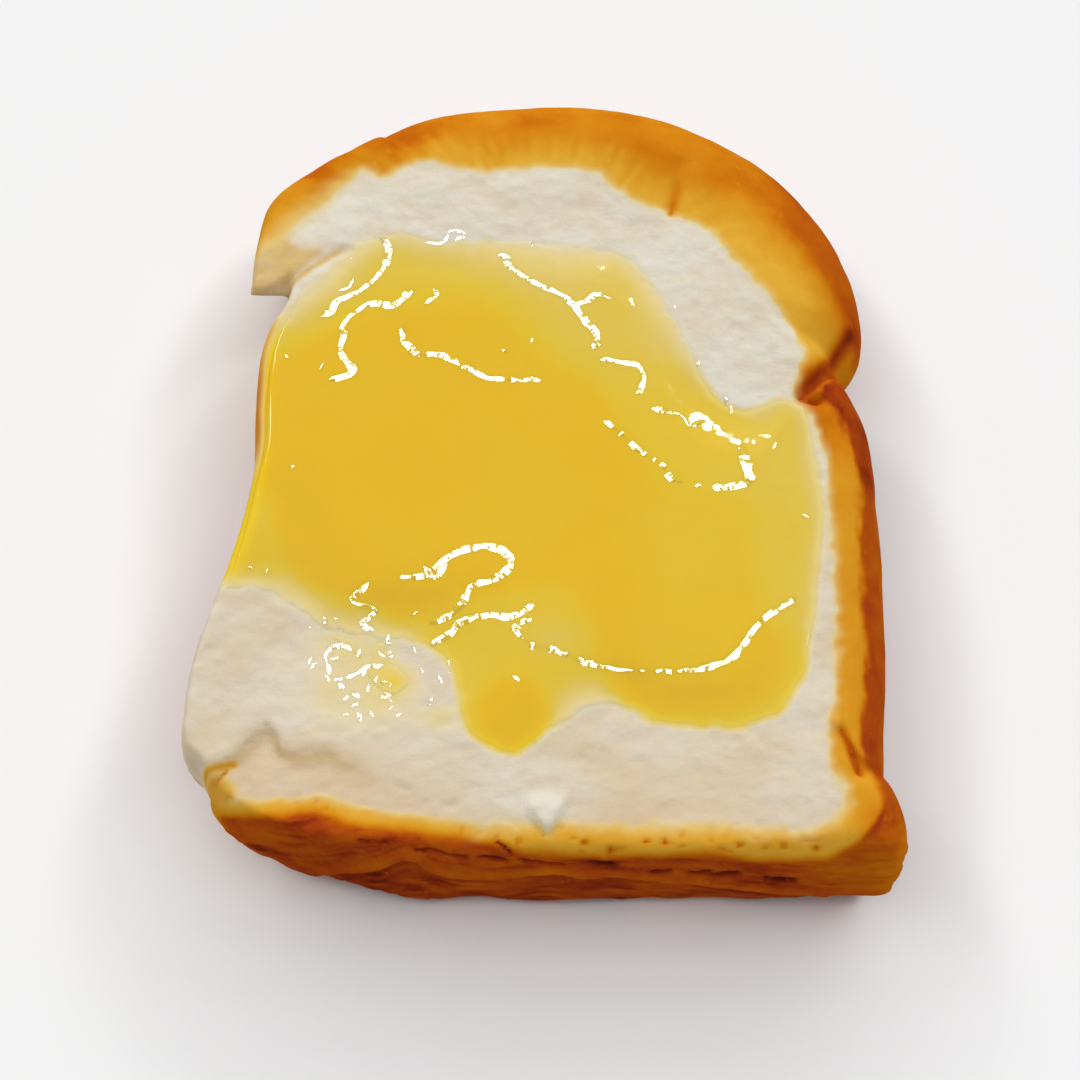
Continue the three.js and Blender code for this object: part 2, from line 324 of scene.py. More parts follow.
# Places as x, y and two radii: the face's sag, the golden heel corner and the whitest crumb, then the
# spread's bay between drip and pool, and its pale place above that.
SAG = (2, -8, 36, 34)
GOLDEN_CORNER = (-48.4, -58, 5.2, 3.7)
WHITEST = (-5, -57, 11, 4)
BAY = (5.5, -43.5, 4.5, 5)
PALE_PLACE = (1.5, -34.5, 4.5, 3)

LEFT_SEAM = [(-52, 23.4), (-43, 23.7), (-40.6, 26), (-37.4, 29.2), (-33.5, 32.1), (-31.6, 32.8)]
RIGHT_SEAM = [(54, 16.5), (46.6, 12.6), (43.4, 10.2), (41.2, 7.6), (40, 6.2), (42.6, 5.6)]
NOTCH_SHADOW = [(49.6, 20.4), (46.6, 15.6), (44.2, 11.6), (41.4, 8)]
HEEL_SEAM = [(43, -48.8), (43.9, -51), (45.2, -54.8)]
HEEL_FLAP = [(42.2, -47.6), (44.2, -50.6), (46, -52.6), (49, -53.6), (54, -54)]
DOME_DENT = [(22.8, 49.4), (21.8, 44.9), (20.7, 39.8)]
LOBE_FOLD = [(-36.4, 55.4), (-33, 57.2), (-30, 58)]
TEAR_LIP = [
    (-51.5, -54.6), (-46.7, -53.3), (-44.2, -51.3), (-41.6, -48.5), (-40.1, -47.2), (-38.7, -49),
    (-37.9, -50.9), (-35.6, -51.4), (-31.3, -51), (-28.6, -52.8), (-24, -54.8), (-18, -55.8),
]
# The lip and the slit where the torn strip starts, at the left corner.
VFLAP = [(-49.6, -54.9), (-44.6, -53.6)]
VFLAP_SLIT = [(-47.4, -56.2), (-45.8, -54.8)]

# Folds whose crust is painted darker, as shade in the crease: the line, its half-width, how much deeper it
# is, and how dark it is painted.
CREASES = [
    (RIGHT_SEAM, 0.6, 0.0, 0.84),
    (NOTCH_SHADOW, 1.2, 0.1, 0.86),
    (HEEL_SEAM, 0.6, 0.25, 0.78),
    (DOME_DENT, 1.0, 0.0, 0.52),
    (LOBE_FOLD, 0.9, 0.3, 0.9),
    (VFLAP, 0.7, 0.1, 0.2),
    (VFLAP_SLIT, 0.4, 0.15, 0.4),
]
# Small holes in the heel's golden band, and their two radii.
PITS = [(5.6, -65.3), (9.3, -66.4), (14.4, -65.2), (17, -65.4), (27.6, -65.6), (38.4, -66)]
PIT_RADII = (0.6, 0.35)

# Lines on the heel's side, as x and slant: where gold turns brown, and the fold above the base.
BROWN_LINE = [
    (-50, -46.2), (-43, -45.6), (-33, -44.8), (-26.5, -46.2), (-19, -47.5), (-10.6, -48.4),
    (-3, -50.2), (8, -50.9), (24, -50.4), (31, -51.8), (40, -51.2), (44.6, -49), (48, -44.6),
    (50, -38), (52, -30),
]
FOLD_LINE = [
    (-34, -55.4), (-29, -54.1), (-23.4, -53.3), (-21.4, -51.8), (-19.9, -51.2), (-18.2, -51.5),
    (-16.5, -53.2), (-14, -54.2), (-6.4, -54.7), (0, -53.6), (8.3, -54), (15.6, -54.8), (28.6, -56.5),
    (42, -57.8),
]
# Open cracks in the heel's side, painted near black as shade in the crack: x and slant along the crack, and
# its half-width.
HEEL_CRACKS = [
    ([(-26, -47.9), (-22.3, -48.2)], 0.25),
    ([(-18.2, -49.7), (-14.8, -50.2), (-11.4, -50.7)], 0.4),
    ([(-9.2, -50.6), (-5.4, -51.3)], 0.35),
    ([(-6.9, -48.3), (-5.9, -49), (-5, -49.9)], 0.25),
    ([(-3.6, -51.3), (2.6, -51.7)], 0.25),
    ([(6.3, -51.6), (10.2, -51.7)], 0.3),
    ([(15.2, -53.4), (18.2, -53.5)], 0.35),
    ([(20.7, -53.7), (23.8, -53.3)], 0.35),
    ([(24.2, -53.9), (27.6, -53.6)], 0.55),
    ([(32, -54.5), (35.9, -54.8)], 0.35),
]


# Each lobe's outline, and how wide its edge is rolled at a place.
LOBES = [
    (BODY, lambda x, y: mix(LEFT_EDGE_ROLL, RIGHT_EDGE_ROLL, smooth(-20, 30, x))),
    (DOME, lambda x, y: np.full(np.shape(x), DOME_ROLL)),
    (LEFT_LOBE, lambda x, y: mix(LEFT_LOBE_EDGE, LEFT_LOBE_ROLL, smooth(33, 46, y))),
    (HEEL, lambda x, y: mix(HEEL_ROLL, HEEL_CORNER_ROLL, smooth(25, 48, x))),
]


def depth_in_slice(x, y):
    return np.maximum.reduce([depth_inside(x, y, outline) for outline, _ in LOBES])


def along_line(x, line):
    line = np.array(line, float)
    return np.interp(x, line[:, 0], line[:, 1])


def slant_of(y, z):
    return SLANT[0] * y + SLANT[1] * z


def crease(x, y, line, depth, half_width):
    return depth * near_line(x, y, line, half_width)


def around_dome(x, y):
    """How far round the dome a place lies, in mm at its rim."""
    return np.arctan2(y - DOME_MIDDLE, x) * DOME_REACH


def tear_drop(x, y):
    """Torn strip beside the heel: it drops below the upper crumb, most at the left."""
    below = smooth(1.0, -3.4, y - along_line(x, TEAR_LIP))
    return TEAR_DROP * smooth(-12, -43, x) * below * (0.35 + 0.65 * smooth(-66, -57, y))


def face_relief(x, y):
    sag = FACE_SAG * spot(x, y, SAG)
    wave = CRUMB_WAVE * (np.sin(x / 6.5 + y / 11) + np.sin(y / 7.5 - x / 13 + 1))
    at_edge = mix(0.42, 1.0, smooth(36, 47, np.abs(x)))
    seams = (
        crease(x, y, LEFT_SEAM, LEFT_SEAM_DEPTH, 0.9) * at_edge
        + crease(x, y, RIGHT_SEAM, SEAM_DEPTH, 1.0) * at_edge
        + crease(x, y, HEEL_SEAM, SEAM_DEPTH * 0.4, 0.8)
        - crease(x, y, HEEL_FLAP, SEAM_DEPTH * 0.3, 0.8)
    )
    dent = crease(x, y, DOME_DENT, DENT_DEPTH, 1.1)
    return wave - sag - seams - dent - tear_drop(x, y)


def base_roll(x, y, roll):
    undercut = UNDERCUT_ROLL * smooth(-15, -45, x) * smooth(-40, -60, y)
    return np.maximum(roll, UNDERCUT_LEAST + undercut)


def top_height(x, y):
    share = np.zeros(np.shape(x))
    for outline, roll in LOBES:
        share = np.maximum(share, roll_share(np.maximum(depth_inside(x, y, outline), 0), roll(x, y)))
    return MID + share * (THICKNESS - MID + face_relief(x, y))


# ---- the bread's surface
def bread_field(x, y, z):
    """Above zero inside the bread, on a grid: x and y are 2-D and z is 1-D."""
    upper = (z[None, None, :] - MID) / (THICKNESS - MID + face_relief(x, y))[..., None]
    lower = (MID - z) / MID
    field = np.full(upper.shape, -9.0, np.float32)
    for outline, roll in LOBES:
        depth = depth_inside(x, y, outline)
        width = roll(x, y)
        top_in = np.maximum(1 - depth / width, 0)[..., None]
        base_in = np.maximum(1 - depth / base_roll(x, y, width), 0)[..., None]
        above = 1 - np.sqrt(top_in**2 + np.maximum(upper, 0) ** 2)
        below = 1 - np.sqrt(base_in**2 + np.maximum(lower, 0)[None, None, :] ** 2)
        lobe = np.where(z >= MID, above, below)
        if outline is LEFT_LOBE:
            beyond = y[..., None] - LOBE_FLOOR - LOBE_FLOOR_LEAN * (THICKNESS - z)
            lobe = np.minimum(lobe, beyond / LOBE_FLOOR_ROLL)
        field = np.maximum(field, lobe.astype(np.float32))
    return field


def surface_net(field, low, cell):
    """Vertices and quads of the surface where field crosses zero."""
    inside = field > 0
    corners = [(i, j, k) for i in (0, 1) for j in (0, 1) for k in (0, 1)]

    def corner(a, c):
        return a[tuple(slice(o, a.shape[n] - 1 + o) for n, o in enumerate(c))]

    count = sum(corner(inside, c).astype(np.int8) for c in corners)
    cells = np.argwhere((count > 0) & (count < 8))
    number = np.full(count.shape, -1, np.int64)
    number[tuple(cells.T)] = np.arange(len(cells))
    values = np.stack([field[tuple((cells + c).T)] for c in corners], 1)
    total = np.zeros((len(cells), 3))
    crossings = np.zeros(len(cells))
    for a, ca in enumerate(corners):
        for b, cb in enumerate(corners):
            if b <= a or sum(abs(p - q) for p, q in zip(ca, cb)) != 1:
                continue
            va, vb = values[:, a], values[:, b]
            cross = (va > 0) != (vb > 0)
            t = np.where(cross, va / np.where(cross, va - vb, 1), 0)[:, None]
            total += np.where(cross[:, None], np.array(ca) + t * (np.array(cb) - np.array(ca)), 0)
            crossings += cross
    points = low + (cells + total / crossings[:, None]) * cell
    quads = []
    for axis in range(3):
        u, v = [(1, 2), (2, 0), (0, 1)][axis]
        first = np.take(inside, range(field.shape[axis] - 1), axis)
        second = np.take(inside, range(1, field.shape[axis]), axis)
        for here, flip in ((first & ~second, False), (~first & second, True)):
            edge = np.argwhere(here)
            keep = (edge[:, u] > 0) & (edge[:, v] > 0)
            edge = edge[keep]
            step_u, step_v = np.eye(3, dtype=int)[u], np.eye(3, dtype=int)[v]
            ring = [edge - step_u - step_v, edge - step_v, edge, edge - step_u]
            quad = np.stack([number[tuple(r.T)] for r in ring], 1)
            quads.append(quad[:, ::-1] if flip else quad)
    return points, np.vstack(quads)


def normals_of(points, quads):
    a, b, c, d = (points[quads[:, k]] for k in range(4))
    face = np.cross(c - a, d - b)
    total = np.zeros_like(points)
    for k in range(4):
        np.add.at(total, quads[:, k], face)
    return total / np.maximum(np.linalg.norm(total, axis=1, keepdims=True), 1e-9)


def quad_edges(quads):
    return np.vstack([quads[:, [k, (k + 1) % 4]] for k in range(4)])


def relaxed(points, quads, rounds, amount=0.5):
    """Each point moves towards the mean of the points it shares an edge with."""
    pairs = quad_edges(quads)
    for _ in range(rounds):
        total = np.zeros_like(points)
        count = np.zeros(len(points))
        for a, b in ((0, 1), (1, 0)):
            np.add.at(total, pairs[:, a], points[pairs[:, b]])
            np.add.at(count, pairs[:, a], 1)
        points = points + amount * (total / count[:, None] - points)
    return points


# ---- what the bread's surface shows
def heel_marks(x, y, z):
    """On the heel's side: its share, how far it is above the brown line and the fold, and its cracks."""
    share = smooth(-57.5, -60.5, y + 1.5 * smooth(-34, -26, x))
    slant = slant_of(y, z) + 0.22 * noise(x / 3.1, y / 3.1, z / 3.1, 21)
    slant = slant + 0.1 * noise(x / 1.2, y, z / 1.2, 22)
    cracks = np.zeros(np.shape(x))
    for line, half_width in HEEL_CRACKS:
        ragged = half_width * (1 + 0.5 * noise(x / 0.9, slant / 0.6, 0, 23))
        cracks = np.maximum(cracks, near_line(x, slant, line, ragged))
    above_brown = slant - along_line(x, BROWN_LINE)
    above_fold = slant - along_line(x, FOLD_LINE)
    return share, above_brown, above_fold, cracks * share


def crumb_relief(x, y, z, soak):
    lumps = layered(x / 5.6, y / 4.4, z / 5, 12, 3)
    fluff = layered(x / 1.7, y / 1.4, z / 1.4, 13, 2)
    pits = smooth(0.55, 0.85, noise(x / 1.3, y / 1.2, z / 1.3, 14))
    pits = pits * smooth(-0.3, 0.4, noise(x / 6, y / 5, z / 5, 15))
    matted = 1 - 0.92 * smooth(0.08, 0.45, soak)
    return (CRUMB_LUMPS * lumps + CRUMB_FLUFF * fluff - CRUMB_PITS * pits) * matted


def heel_relief(x, above_brown, above_fold, cracks):
    folded = smooth(0.3, -0.6, above_brown)
    streaks = layered(x / 6, above_fold / 0.7, 0, 24, 3)
    lumps = noise(x / 5, above_fold / 2.4, 0, 25)
    fold = bell(above_fold, 0.5, 0.55)
    below = smooth(0.15, -0.35, above_fold) * smooth(-7, -2, above_fold)
    rough = HEEL_STREAKS * streaks + HEEL_LUMPS * lumps + FOLD_RISE * fold - FOLD_DROP * below
    return folded * rough - CRACK_DEPTH * cracks


def crumb_share(x, y, z, up, above_brown, wander):
    """How far crust covers a place, and how far it lies inside the crumb's outline and the tuft's."""
    crumb_in = depth_inside(x, y, CRUMB) + wander
    tuft = depth_inside(x, y, TUFT) + 0.45 * wander
    crumb_in = np.maximum(crumb_in, tuft * 1.6)
    blur = 1.2 + 2.0 * smooth(-27, -37, x) * smooth(28, 36, y)
    blur = blur + 0.7 * smooth(-50, -58, y) * smooth(44, 36, x)
    crust = 1 - smooth(-blur, blur, crumb_in + 0.2)
    left_gold = smooth(3.5, 1.4, above_brown + 0.5 * wander) * smooth(-2, -12, x) * smooth(-50, -56, y)
    crust = np.maximum(crust, left_gold * (1 - smooth(0, 1, tuft)))
    rim = depth_in_slice(x, y)
    upper_rim = smooth(2.8, 1.5, rim) * smooth(22, 17, y) * smooth(-10, 0, y)
    lower_rim = smooth(1.3, 0.5, rim) * smooth(-25, -28, y) * smooth(-40, -36, y)
    crust = np.maximum(crust, 0.9 * (upper_rim + lower_rim) * smooth(-36, -42, x))
    crust = np.maximum(crust, 0.9 * smooth(0.3, 0.75, spot(x, y, GOLDEN_CORNER)))
    bare_wall = 8 * smooth(-38, -43, y) * smooth(-56.5, -54.5, y) * smooth(-40, -46, x)
    wall = z + bare_wall + tear_drop(x, y) + 0.8 * noise(x / 4, y / 4, z / 4, 9)
    above_heel = smooth(-56, -58, y) * smooth(2, 4, above_brown)
    crust = np.maximum(crust, smooth(25.0, 22.6, wall) * (1 - above_heel))
    under = smooth(-0.4, -0.85, up) * smooth(4.0, 6.5, rim + wander)
    return crust * (1 - under), crumb_in, tuft


def bread_details(p, up):
    """Relief in mm along the normal, and the masks that colour the surface; up is the normal's z."""
    x, y, z = p.T
    wander = 0.9 * layered(x / 5, y / 5, z / 5, 3) + 0.35 * noise(x / 1.3, y / 1.3, z / 1.3, 5)
    heel, above_brown, above_fold, cracks = heel_marks(x, y, z)
    crust, crumb_in, tuft = crumb_share(x, y, z, up, above_brown, wander)
    deep, _ = spread_depth(x, y)
    soak = deep * smooth(20, 25, z)

    on_face = smooth(16, 21, z)
    tone = crust_tone(x, y, z, up, np.clip(-crumb_in, 0, 30), heel, above_brown, above_fold)
    sunk = np.zeros(len(x))
    for line, half_width, depth, crease_shade in CREASES:
        near = near_line(x, y, line, half_width) * on_face
        sunk = np.maximum(sunk, near * depth)
        # Painted shade: the crust in each crease is coloured darker.
        tone = mix(tone, np.maximum(tone, crease_shade), near)
        crust = np.maximum(crust, near * smooth(0.2, 0.5, near))
    for pit in PITS:
        near = spot(x, y, (*pit, *PIT_RADII)) * on_face
        sunk = np.maximum(sunk, PIT_DEPTH * near)
        tone = mix(tone, np.maximum(tone, PIT_TONE), near)
    flecks = smooth(0.5, 0.8, noise(x / 1.3, above_brown / 0.6, 0, 55)) * smooth(-56, -58.5, y)
    flecks = flecks * smooth(6.5, 4.5, above_brown) * smooth(0.6, 1.6, above_brown) * smooth(45, 40, x)
    # Painted shade: the cracks are coloured near black.
    tone = np.clip(mix(tone + 0.32 * flecks, CRACK_TONE, cracks), 0, 1)

    skin = SKIN_WAVES * layered(x / 9, y / 9, z / 6, 31, 2)
    skin = skin + SKIN_GRAIN * noise(x / 2.2, y / 2.2, z / 2.2, 32)
    frills = FRILL * noise(around_dome(x, y) / 2.1, crumb_in / 7, 0, 33)
    frills = frills * smooth(9, 2, -crumb_in) * smooth(8, 20, y)
    crust_relief = skin + frills + heel * heel_relief(x, above_brown, above_fold, cracks)
    hanging = smooth(-57.2, -60.6, y)
    relief = mix(crumb_relief(x, y, z, soak), crust_relief, crust)
    relief = relief + TUFT_RISE * smooth(-0.3, 0.9, tuft) * hanging
    relief = relief - sunk - FLECK_DEPTH * flecks

    # Painted shadow on the crumb under the torn lip and along the left seam. The left lobe's tanned crumb,
    # its own colour, uses the same shade mask.
    lip_gap = along_line(x, TEAR_LIP) - y
    lip = bell(lip_gap, 1.4, 1.3) * smooth(-20, -31, x) * smooth(-52, -44, x)
    shade = 0.6 * lip * (0.75 + 0.4 * noise(x / 3, y / 2, 0, 34))
    shade = np.maximum(shade, 0.9 * smooth(-1.3, 1.3, depth_inside(x, y, TANNED) + 0.6 * wander))
    shade = np.maximum(shade, near_line(x, y, LEFT_SEAM, 0.6))
    strip = smooth(0.5, 3, lip_gap) * smooth(-14, -30, x)
    warm = 0.1 + 0.4 * smooth(0, -32, y) + 0.2 * smooth(-48, -56, y) + 0.3 * strip
    warm = warm * (1 - hanging * smooth(-0.5, 0.5, tuft))
    warm = warm - 0.25 * smooth(25, 38, x) * smooth(-30, -45, y)
    warm = warm - 0.5 * spot(x, y, WHITEST)
    masks = {"crust": crust, "soak": soak, "tone": tone, "warm": np.clip(warm, 0, 1), "shade": shade}
    return relief, masks


def crust_tone(x, y, z, up, outer, heel, above_brown, above_fold):
    """How brown the crust is, from 0, pale gold, to 1, dark brown; part of this darkening is painted shade,
    and the heel's fold has a painted highlight.
    """
    # Painted shade: the crust is darker where its surface turns down, away from the light above.
    turned_down_shade = smooth(0.9, 0.1, up)
    low = smooth(16, 3, z)
    outer_dome = outer - 3.0 * smooth(24, 33, x) + 3.0 * smooth(-15, -25, x)
    on_dome = 0.5 * smooth(-1, 9.5, outer_dome) + 0.2 * smooth(5, 10, outer_dome) * smooth(30, 44, x)
    on_dome = on_dome + 0.06 * turned_down_shade + 0.14 * smooth(-10, -24, x)
    streaks = noise(around_dome(x, y) / 1.7, outer / 6, 0, 52)
    on_dome = on_dome + 0.1 * streaks * smooth(9, 3, outer)
    on_dome = on_dome - 0.25 * smooth(-34, -42, x) * smooth(52, 44, y)
    # Side crust: a thin painted shadow along its inner edge under the crumb, and its outer band, the wall,
    # painted darker than the upward-facing top of its roll, partly shade and partly browning.
    on_side = SIDE_TONE + 0.16 * smooth(1.2, 0, outer) + 0.26 * smooth(-12, 2, y)
    on_side = on_side + 0.5 * smooth(3.7, 5.3, outer + 0.5 * noise(x, y / 5, z / 5, 53))
    on_side = np.minimum(on_side, SIDE_TONE_MOST)
    on_left = mix(LEFT_TONE, LEFT_CORNER_TONE, smooth(-48, -54, y)) + 0.2 * turned_down_shade
    on_side = mix(on_side, on_left, smooth(-30, -40, x))
    gold = GOLD_TONE + 0.5 * smooth(1.6, 0.1, above_brown) + 0.45 * smooth(41, 49, x)
    brown = mix(BROWN_LEFT_TONE, BROWN_TONE, smooth(-24, -4, x))
    brown = brown + 0.11 * layered(x / 6, above_fold / 0.5, 0, 54, 3)
    brown = brown + 0.06 * noise(x / 8, above_fold / 2.2, 0, 56)
    brown = brown - 0.17 * smooth(42, 49, x) * smooth(5, 16, z)
    # Paler papery skin on the heel's left, and a painted highlight along the fold's ridge.
    tan = smooth(-0.2, 0.5, above_fold) * (
        0.1 * smooth(-32, -26, x) * smooth(-15.5, -18, x) * smooth(4.0, 1.8, above_fold)
        + 0.1 * bell(above_fold, 0.7, 0.6) * smooth(-17, -14, x) * smooth(44, 34, x)
    )
    # Painted shadow: the band below the heel's fold is darker.
    base = 0.06 * smooth(0.1, -0.35, above_fold)
    soft = mix(0.45, 1.8, smooth(38, 47, x))
    on_heel = mix(gold, brown - tan + base, smooth(soft, -soft, above_brown))
    tone = mix(mix(on_side, on_dome, smooth(9, 17, y)), on_heel, heel)
    # The crust darkens towards the bottom, partly browning and partly painted shade.
    tone = tone + 0.1 * low * (1 - heel)
    return tone + 0.05 * layered(x / 10, y / 10, z / 7, 51, 3)


# ---- the bread's mesh
def add_object(name, data):
    thing = bpy.data.objects.new(name, data)
    bpy.context.scene.collection.objects.link(thing)
    return thing


def make_mesh(name, points, groups, shift, masks):
    """A mesh of face groups, each of faces with one number of corners, smooth or flat."""
    mesh = bpy.data.meshes.new(name)
    mesh.vertices.add(len(points))
    mesh.vertices.foreach_set("co", ((points + shift) * MM).astype(np.float32).ravel())
    sizes = np.concatenate([np.full(len(faces), faces.shape[1]) for faces, _ in groups])
    corners = np.concatenate([faces.ravel() for faces, _ in groups])
    even = np.concatenate([np.full(len(faces), is_smooth) for faces, is_smooth in groups])
    mesh.loops.add(len(corners))
    mesh.loops.foreach_set("vertex_index", corners.astype(np.int32))
    mesh.polygons.add(len(sizes))
    mesh.polygons.foreach_set("loop_start", (np.cumsum(sizes) - sizes).astype(np.int32))
    mesh.polygons.foreach_set("use_smooth", even)
    mesh.update(calc_edges=True)
    mesh.validate()
    for key, values in masks.items():
        attribute = mesh.attributes.new(key, "FLOAT", "POINT")
        attribute.data.foreach_set("value", values.astype(np.float32))
    return add_object(name, mesh)


def join_flat_base(mesh):
    """The flat underside's inner faces become one."""
    low, high = (np.array(c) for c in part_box("milk_bread"))
    margin = FLAT_MARGIN * MM
    work = bmesh.new()
    work.from_mesh(mesh)

    def inner(v):
        inside = all(low[k] + margin < v.co[k] < high[k] - margin for k in (0, 1))
        return v.co.z < 1e-6 and inside

    flat = [f for f in work.faces if all(inner(v) for v in f.verts)]
    bmesh.ops.dissolve_faces(work, faces=flat, use_verts=False)
    work.to_mesh(mesh)
    work.free()


def make_bread(shift):
    axes, x, y = grid(BREAD_LOW, BREAD_HIGH, BREAD_CELL)
    points, quads = surface_net(bread_field(x, y, axes[2]), BREAD_LOW, BREAD_CELL)
    points = relaxed(points, quads, 2)
    normals = normals_of(points, quads)
    relief, masks = bread_details(points, normals[:, 2])
    lying = smooth(1.2, 0.2, points[:, 2])
    points = points + normals * (relief * (1 - lying))[:, None]
    points[:, 2] = np.maximum(points[:, 2], 0)
    return make_mesh("bread", points, [(quads, True)], shift, masks)


# ---- the spread
# Fine ridges in the spread's skin, where the lamps glint: the line, its half-width, and how broken.
RIDGES = [
    ([(-26.7, 34.9), (-25.2, 33.6), (-25, 31.5), (-25.8, 28.2), (-29.1, 24.8), (-32.6, 22.7),
      (-33.5, 20.6), (-35.5, 20)], 0.62, 0),
    ([(-30.6, 27.3), (-31, 25.5), (-32.7, 24.6)], 0.42, 0),
    ([(-20.9, 24.9), (-23.5, 21.9), (-27.7, 22), (-31.2, 19.1), (-31.6, 15.8), (-31.8, 13.1),
      (-29.9, 9.7), (-33.4, 8.3)], 0.62, 0),
    ([(-17.6, 25), (-17.1, 23.7), (-18.9, 22)], 0.42, 0),
    ([(-21.7, 18.7), (-22.3, 16.1), (-19.8, 12.9), (-16.4, 12.7), (-12.2, 10.4), (-8.1, 8.5),
      (-0.6, 8.3)], 0.5, 0.4),
    ([(-7.4, 31.1), (-6, 30.9), (-5.4, 28.9), (-1.7, 26.1), (3.3, 23.3), (5.7, 19.9), (8.4, 15.8),
      (7.8, 13.8)], 0.58, 0),
    ([(4.9, 21.8), (6.9, 22.6), (8.5, 23.8), (10.6, 23.3)], 0.55, 0),
    ([(8.8, 12), (13.8, 11.1), (15.4, 9.7), (15.3, 7.7), (14.5, 5.8)], 0.52, 0),
    ([(16.6, 3.3), (21, 2.3), (22.4, 0.5), (24.9, 1.5), (26.8, 0.3), (28.4, -1.4)], 0.5, 0),
    ([(28.4, -1.4), (30.2, -3.4), (30.7, -6.2), (31.4, -9.4)], 0.9, 0),
    ([(31.4, -9.4), (29.1, -10), (25.6, -10.4)], 0.58, 0),
    ([(9.2, 1.1), (11.7, -1), (15.1, -4.5), (17.7, -6.3), (19.3, -8.7), (20.9, -9.2)], 0.5, 0.8),
    ([(22.9, -10), (23.8, -10)], 0.55, 0),
    ([(-21.8, -24.9), (-17.4, -24.4), (-14.2, -21.7), (-9.8, -20.1), (-6.4, -20.6), (-5.1, -22.8),
      (-7.4, -25.3), (-10.8, -26)], 0.55, 0.3),
    ([(-17.9, -23.2), (-16.2, -25), (-14.6, -22.8)], 0.5, 0),
    ([(-10.8, -26), (-11.7, -28.3), (-13.7, -30.8), (-17, -31.8)], 0.5, 0),
    ([(-16.7, -35.6), (-13.6, -33.4), (-12.4, -32), (-9, -31), (-4.6, -31.1), (-1.6, -29.4)], 0.5, 0),
    ([(-2, -31.4), (-4.2, -33.2), (-2.4, -35.5), (0.8, -36.3), (6.4, -38.4), (12.4, -39.5),
      (20.4, -39.7)], 0.52, 0.7),
    ([(20.4, -39.7), (25.3, -38.8), (28, -37), (32, -32.1), (37.2, -27.9)], 0.56, 0.3),
    ([(-26.1, -25.8), (-28.5, -28.4), (-25, -29.7), (-26.9, -31.7), (-25.2, -33)], 0.5, 0),
    ([(-31.3, -39.9), (-32.2, -36.8), (-30, -35.3), (-28.4, -36.2)], 0.42, 0),
    ([(-29, -40.5), (-26, -38.9), (-23.6, -38.6)], 0.34, 0),
    ([(-19.2, 33.9), (-16.5, 33.6), (-15, 35.6), (-13, 35.2), (-14.4, 34.1)], 0.38, 0),
]
# Single small glints.
SPECKS = [
    (-34.8, -32.4), (-32.5, -31.6), (-31, -31), (-30.1, -32.6), (-44, -23.3), (-41.5, -23.7), (-4.2, -40.9),
    (-19.3, -30.5), (-34.8, 10.8), (-40.4, 12.7), (-6.2, 13.6), (-1.9, 15.4), (-38.6, -6.7), (-1.8, 34.1),
    (39.6, -14.6), (24.3, 12), (26.8, 6.8), (29.1, 6.8), (28.4, 5.4), (29.1, 4), (20.8, 22.2), (-31.1, 31),
]
SMEAR_SPECKS = 44
SPECK_WIDTH, SMEAR_SPECK_WIDTH = 0.36, 0.28
SPECK_SEED, RIDGE_SEED = 5, 71
SMEAR = (-24.5, -40.5, 11.0, 6.8)
# How the smear left of the drip thickens or thins: x, y, two radii and the depth it adds.
SMEAR_PATCHES = [
    (-30.3, -35, 3.8, 2.8, 0.16), (-23.8, -39.4, 2.6, 2.2, 0.08), (-22.2, -41.6, 1.9, 1.7, 0.22),
    (-14.8, -47.2, 3.0, 2.2, 0.16), (-19.6, -36.6, 2.4, 2.2, -0.2), (-15.8, -40.6, 2.6, 3.2, -0.26),
    (-17.6, -44.4, 2.4, 1.6, -0.1), (-35, -40, 4, 4, -0.08),
]
# Where the core is a little deeper: a line, its half-width and the depth it adds.
DEEPER = [
    ([(-38.6, -10), (-33, -18), (-26, -25), (-18, -28.4), (-9, -26.5)], 3.4, 0.06),
    ([(-21, 15), (-9, 7), (8, -6), (26, -12.5)], 3.0, 0.03),
    ([(12, -42.6), (18, -44.4), (25, -44), (31, -41), (34.5, -36)], 4.0, 0.1),
]
DRIP = (-4.9, -46.2, 6.4)


